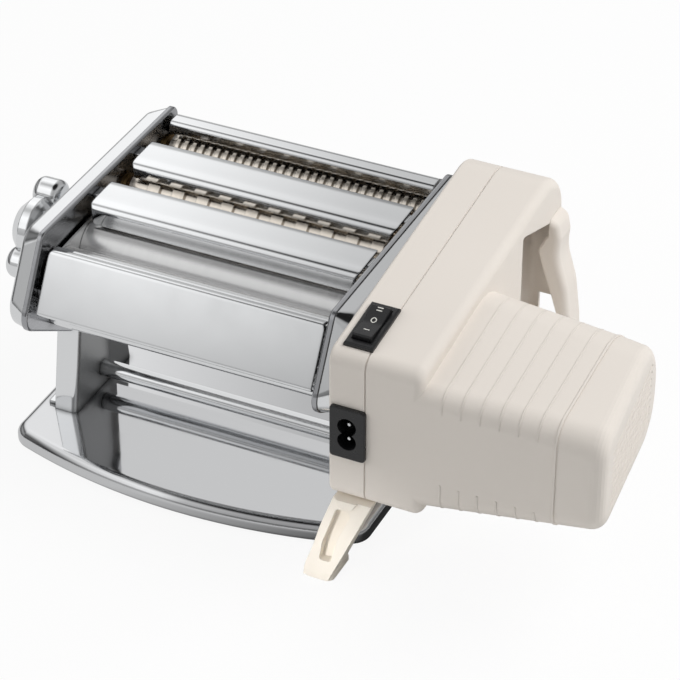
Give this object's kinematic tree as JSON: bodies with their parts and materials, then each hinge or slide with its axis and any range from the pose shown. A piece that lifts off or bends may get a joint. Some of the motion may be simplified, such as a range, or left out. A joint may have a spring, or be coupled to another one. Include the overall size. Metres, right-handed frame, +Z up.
{
  "type": "pasta roller machine",
  "caption": "Polished steel pasta roller machine on a base tray, with smooth rollers, coarse and fine cutters, a thickness knob and a cream motor unit on its side.",
  "frame": {"origin": "bottom centre of the whole machine, on the table under its feet", "axes": "+X along the rollers towards the motor nose, +Y to the back, +Z up"},
  "size_m": [0.353, 0.191, 0.1512],
  "materials": {
    "polished_steel": "mirror polished",
    "satin_steel": "fine ground round the axis",
    "nickel_cutter": "satin nickel",
    "plain_steel": "plain rolled sheet and turned stock",
    "bearing_bronze": "sintered",
    "cream_plastic": "fine moulded texture",
    "leg_plastic": "fine moulded texture",
    "black_plastic": "smooth",
    "gear_plastic": "moulded acetal",
    "stator_iron": "varnished stack",
    "foot_rubber": "moulded"
  },
  "bodies": {
    "frame": {"base_plate": "polished_steel", "left_upright": "polished_steel", "right_upright": "polished_steel", "left_side_cover": "polished_steel", "right_side_cover": "polished_steel", "front_cover": "polished_steel", "rear_cover": "polished_steel", "smooth_guide_bar": "polished_steel", "cutter_guide_bar": "polished_steel", "base_tie_rod": "polished_steel", "frame_tie_rods": "polished_steel", "inlet_pins": "polished_steel", "dough_guides": "satin_steel", "smooth_scrapers": "satin_steel", "left_side_plate": "plain_steel", "right_side_plate": "plain_steel", "frame_bolts": "plain_steel", "coarse_combs": "plain_steel", "fine_combs": "plain_steel", "gear_bridge": "plain_steel", "gearbox_plate": "plain_steel", "gearbox_pins": "plain_steel", "roller_bearings": "bearing_bronze", "inner_housing": "cream_plastic", "outer_housing": "cream_plastic", "nose_cap": "cream_plastic", "carry_handle": "cream_plastic", "support_leg": "leg_plastic", "switch_body": "black_plastic", "inlet_body": "black_plastic", "motor_stator": "stator_iron", "base_feet": "foot_rubber"},
    "front_roller": {"front_smooth_roller": "satin_steel", "front_roller_gear": "plain_steel", "smooth_drive_gear": "gear_plastic"},
    "eccentric": {"eccentric_shaft": "plain_steel", "knob_spring": "plain_steel"},
    "knob": {"thickness_knob": "polished_steel", "index_pin": "plain_steel"},
    "bush": {"roller_bush": "bearing_bronze"},
    "rear_roller": {"rear_smooth_roller": "satin_steel", "rear_roller_gear": "plain_steel"},
    "coarse_front": {"coarse_cutter_front": "nickel_cutter", "coarse_gear_front": "plain_steel", "coarse_drive_gear": "gear_plastic"},
    "coarse_rear": {"coarse_cutter_rear": "nickel_cutter", "coarse_gear_rear": "plain_steel"},
    "fine_front": {"fine_cutter_front": "nickel_cutter", "fine_gear_front": "plain_steel", "fine_drive_gear": "gear_plastic"},
    "fine_rear": {"fine_cutter_rear": "nickel_cutter", "fine_gear_rear": "plain_steel"},
    "idler_front": {"front_idler_gear": "gear_plastic"},
    "idler_rear": {"rear_idler_gear": "gear_plastic"},
    "reduction": {"reduction_shaft": "gear_plastic", "reduction_wheel": "gear_plastic"},
    "rotor": {"motor_rotor": "plain_steel", "motor_pinion": "plain_steel", "cooling_fan": "gear_plastic"},
    "rocker": {"switch_rocker": "black_plastic"}
  },
  "joints": [
    {"name": "front_roller_turn", "type": "hinge", "parent": "frame", "child": "front_roller", "pos_m": [-0.0585, -0.045, 0.106], "axis": [1, 0, 0], "continuous": true},
    {"name": "thickness_turn", "type": "hinge", "parent": "frame", "child": "eccentric", "pos_m": [-0.1585, -0.0158, 0.107], "axis": [-1, 0, 0], "range_deg": [0, 90]},
    {"name": "knob_pull", "type": "slide", "parent": "eccentric", "child": "knob", "axis": [-1, 0, 0], "range_m": [0, 0.004], "stiffness_N_per_m": 400},
    {"name": "bush_turn", "type": "hinge", "parent": "eccentric", "child": "bush", "pos_m": [-0.0585, -0.0148, 0.106], "axis": [-1, 0, 0], "range_deg": [-90, 0]},
    {"name": "rear_roller_turn", "type": "hinge", "parent": "bush", "child": "rear_roller", "pos_m": [-0.0585, -0.0148, 0.106], "axis": [1, 0, 0], "continuous": true},
    {"name": "coarse_front_turn", "type": "hinge", "parent": "frame", "child": "coarse_front", "pos_m": [-0.0585, 0.0097, 0.1135], "axis": [1, 0, 0], "continuous": true},
    {"name": "coarse_rear_turn", "type": "hinge", "parent": "frame", "child": "coarse_rear", "pos_m": [-0.0585, 0.0305, 0.1135], "axis": [1, 0, 0], "continuous": true},
    {"name": "fine_front_turn", "type": "hinge", "parent": "frame", "child": "fine_front", "pos_m": [-0.0585, 0.054, 0.1135], "axis": [1, 0, 0], "continuous": true},
    {"name": "fine_rear_turn", "type": "hinge", "parent": "frame", "child": "fine_rear", "pos_m": [-0.0585, 0.0748, 0.1135], "axis": [1, 0, 0], "continuous": true},
    {"name": "idler_front_turn", "type": "hinge", "parent": "frame", "child": "idler_front", "pos_m": [0.0415, -0.01838, 0.11508], "axis": [1, 0, 0], "continuous": true},
    {"name": "idler_rear_turn", "type": "hinge", "parent": "frame", "child": "idler_rear", "pos_m": [0.0415, 0.03185, 0.12207], "axis": [1, 0, 0], "continuous": true},
    {"name": "reduction_turn", "type": "hinge", "parent": "frame", "child": "reduction", "pos_m": [0.0465, -0.00655, 0.09288], "axis": [1, 0, 0], "continuous": true},
    {"name": "rotor_turn", "type": "hinge", "parent": "frame", "child": "rotor", "pos_m": [0.1115, -0.0425, 0.091], "axis": [1, 0, 0], "continuous": true},
    {"name": "rocker_tilt", "type": "hinge", "parent": "frame", "child": "rocker", "pos_m": [0.0468, -0.0625, 0.1362], "axis": [1, 0, 0], "range_deg": [-9, 9]}
  ],
  "couplings": [
    {"joint": "rear_roller_turn", "follows": "front_roller_turn", "ratio": -1},
    {"joint": "coarse_front_turn", "follows": "front_roller_turn", "ratio": 1},
    {"joint": "coarse_rear_turn", "follows": "front_roller_turn", "ratio": -1},
    {"joint": "fine_front_turn", "follows": "front_roller_turn", "ratio": 1},
    {"joint": "fine_rear_turn", "follows": "front_roller_turn", "ratio": -1},
    {"joint": "idler_front_turn", "follows": "front_roller_turn", "ratio": -1.6471},
    {"joint": "idler_rear_turn", "follows": "front_roller_turn", "ratio": -2.8},
    {"joint": "reduction_turn", "follows": "front_roller_turn", "ratio": -2},
    {"joint": "rotor_turn", "follows": "front_roller_turn", "ratio": 10},
    {"joint": "bush_turn", "follows": "thickness_turn", "ratio": -1}
  ]
}
